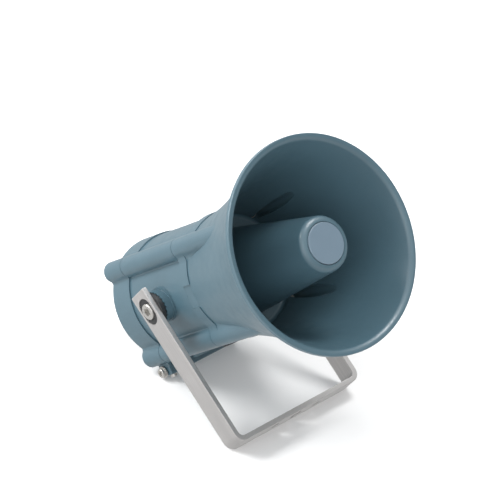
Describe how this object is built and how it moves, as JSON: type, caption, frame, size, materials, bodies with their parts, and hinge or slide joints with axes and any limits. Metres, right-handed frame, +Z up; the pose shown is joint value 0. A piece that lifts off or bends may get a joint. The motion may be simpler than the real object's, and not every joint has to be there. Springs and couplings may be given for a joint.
{
  "type": "horn loudspeaker",
  "caption": "Moulded re-entrant horn loudspeaker with a compression driver and line transformer inside, on a steel U bracket with toothed tilt pivots.",
  "frame": {"origin": "bottom centre of the bounding box, on the floor the part rests on", "axes": "+Z up, the horn's mouth towards -Y and up, pivot axis along X"},
  "size_m": [0.21, 0.3169, 0.3022],
  "materials": {
    "casing_grp": "fine moulded texture, blue grey",
    "cap_grey": "satin, paler grey",
    "seal_rubber": "soft",
    "stainless_steel": "bright stainless",
    "bracket_steel": "brushed stainless",
    "dark_steel": "blackened",
    "insert_brass": "turned",
    "driver_aluminium": "die-cast",
    "driver_plastic": "matte black",
    "diaphragm_film": "phenolic",
    "coil_copper": "enamelled wire",
    "plated_steel": "zinc plated",
    "ferrite": "sintered",
    "core_steel": "laminated",
    "terminal_plastic": "satin",
    "plug_plastic": "satin black",
    "ratchet_plastic": "satin black"
  },
  "bodies": {
    "speaker": {"rear_cover": "casing_grp", "body_housing": "casing_grp", "horn_flare": "casing_grp", "throat_tube": "casing_grp", "horn_reflector": "casing_grp", "reflector_end_cap": "cap_grey", "rear_cover_seal": "seal_rubber", "horn_seal": "seal_rubber", "throat_gasket": "seal_rubber", "cable_entry_plug_washer": "seal_rubber", "rear_cover_screws": "stainless_steel", "rear_cover_screw_washers": "stainless_steel", "horn_screws": "stainless_steel", "horn_screw_washers": "stainless_steel", "throat_screws": "stainless_steel", "reflector_bolt": "stainless_steel", "reflector_bolt_washer": "stainless_steel", "driver_screws": "stainless_steel", "magnet_screws": "stainless_steel", "chassis_screws": "stainless_steel", "strap_screws": "stainless_steel", "terminal_screws": "stainless_steel", "terminal_block_screws": "stainless_steel", "earth_washer": "stainless_steel", "earth_screw": "stainless_steel", "chin_screw": "stainless_steel", "pivot_screws": "stainless_steel", "pivot_spring_washers": "stainless_steel", "earth_lock_washer": "dark_steel", "column_inserts": "insert_brass", "pivot_inserts": "insert_brass", "earth_insert": "insert_brass", "driver_cap": "driver_aluminium", "phase_plug": "driver_plastic", "diaphragm_clamp_ring": "driver_aluminium", "magnet_top_plate": "plated_steel", "magnet_ring": "ferrite", "magnet_back_plate": "plated_steel", "chassis_plate": "plated_steel", "transformer_core": "core_steel", "transformer_winding": "coil_copper", "transformer_strap": "plated_steel", "terminal_block": "terminal_plastic", "cable_entry_plug": "plug_plastic"},
    "bracket": {"u_bracket": "bracket_steel", "tilt_ratchets": "ratchet_plastic"},
    "moving_coil": {"diaphragm": "diaphragm_film", "voice_coil": "coil_copper"}
  },
  "joints": [
    {"name": "bracket_tilt", "type": "hinge", "parent": "speaker", "child": "bracket", "pos_m": [0, 0.05821, 0.10039], "axis": [1, 0, 0], "range_deg": [-36, 246]},
    {"name": "diaphragm_stroke", "type": "slide", "parent": "speaker", "child": "moving_coil", "axis": [0, -0.7739, 0.6334], "range_m": [-0.0004, 0.0004], "stiffness_N_per_m": 4000}
  ]
}
